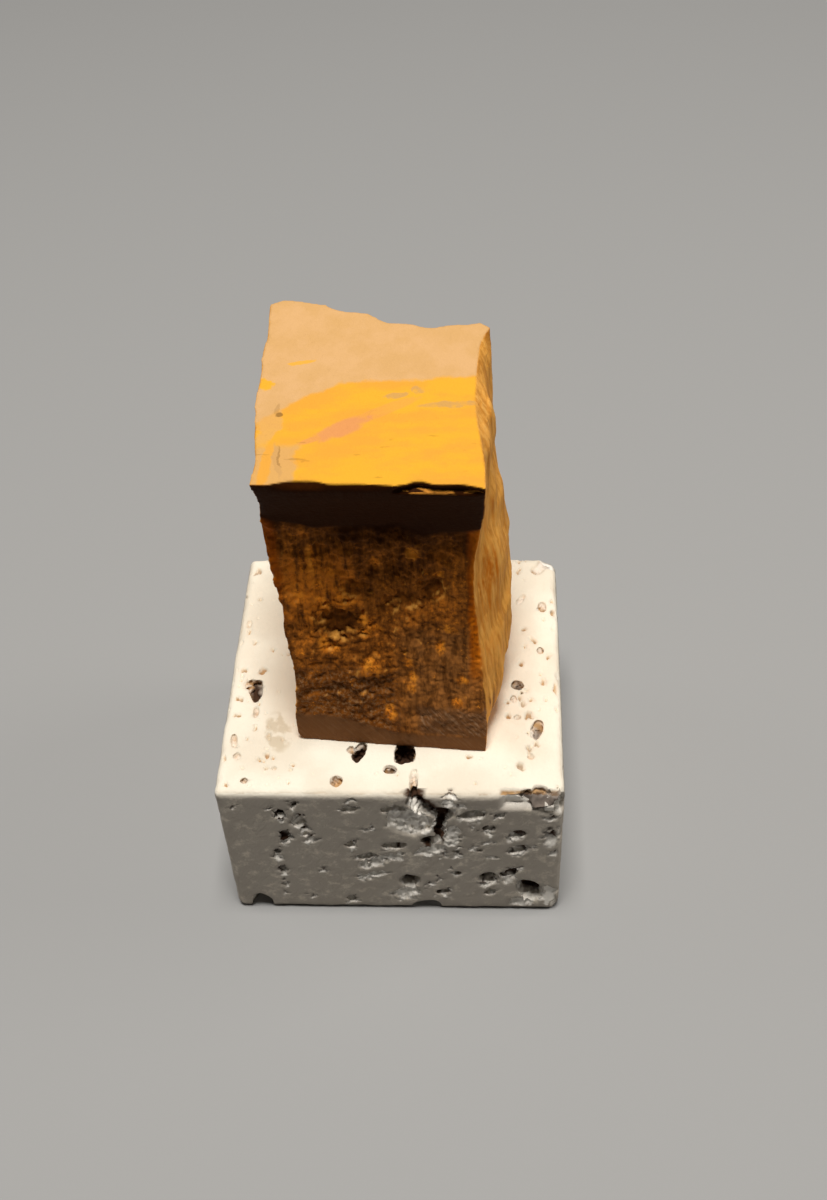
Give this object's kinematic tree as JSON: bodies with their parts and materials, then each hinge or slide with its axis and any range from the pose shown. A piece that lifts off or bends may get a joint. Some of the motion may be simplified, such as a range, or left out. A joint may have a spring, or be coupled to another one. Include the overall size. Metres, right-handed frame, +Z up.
{
  "type": "rough tiger's eye specimen on a travertine block",
  "caption": "Broken chunk of rough tiger's eye with flat vein walls, a concave fibrous front under a ledge, standing on a tumbled pitted travertine block.",
  "frame": {"origin": "middle of the travertine block's underside", "axes": "+Z up through the stone, -Y towards the front, where the stone's ledge overhangs, +X to the right"},
  "size_m": [0.04, 0.038, 0.0667],
  "materials": {
    "tigers_eye": "silky fibrous quartz, golden brown, dull jasper yellow on the vein walls",
    "travertine": "matt tumbled travertine, cream white with tan pores"
  },
  "bodies": {
    "root": {"tigers_eye": "tigers_eye", "travertine_block": "travertine"}
  },
  "joints": []
}
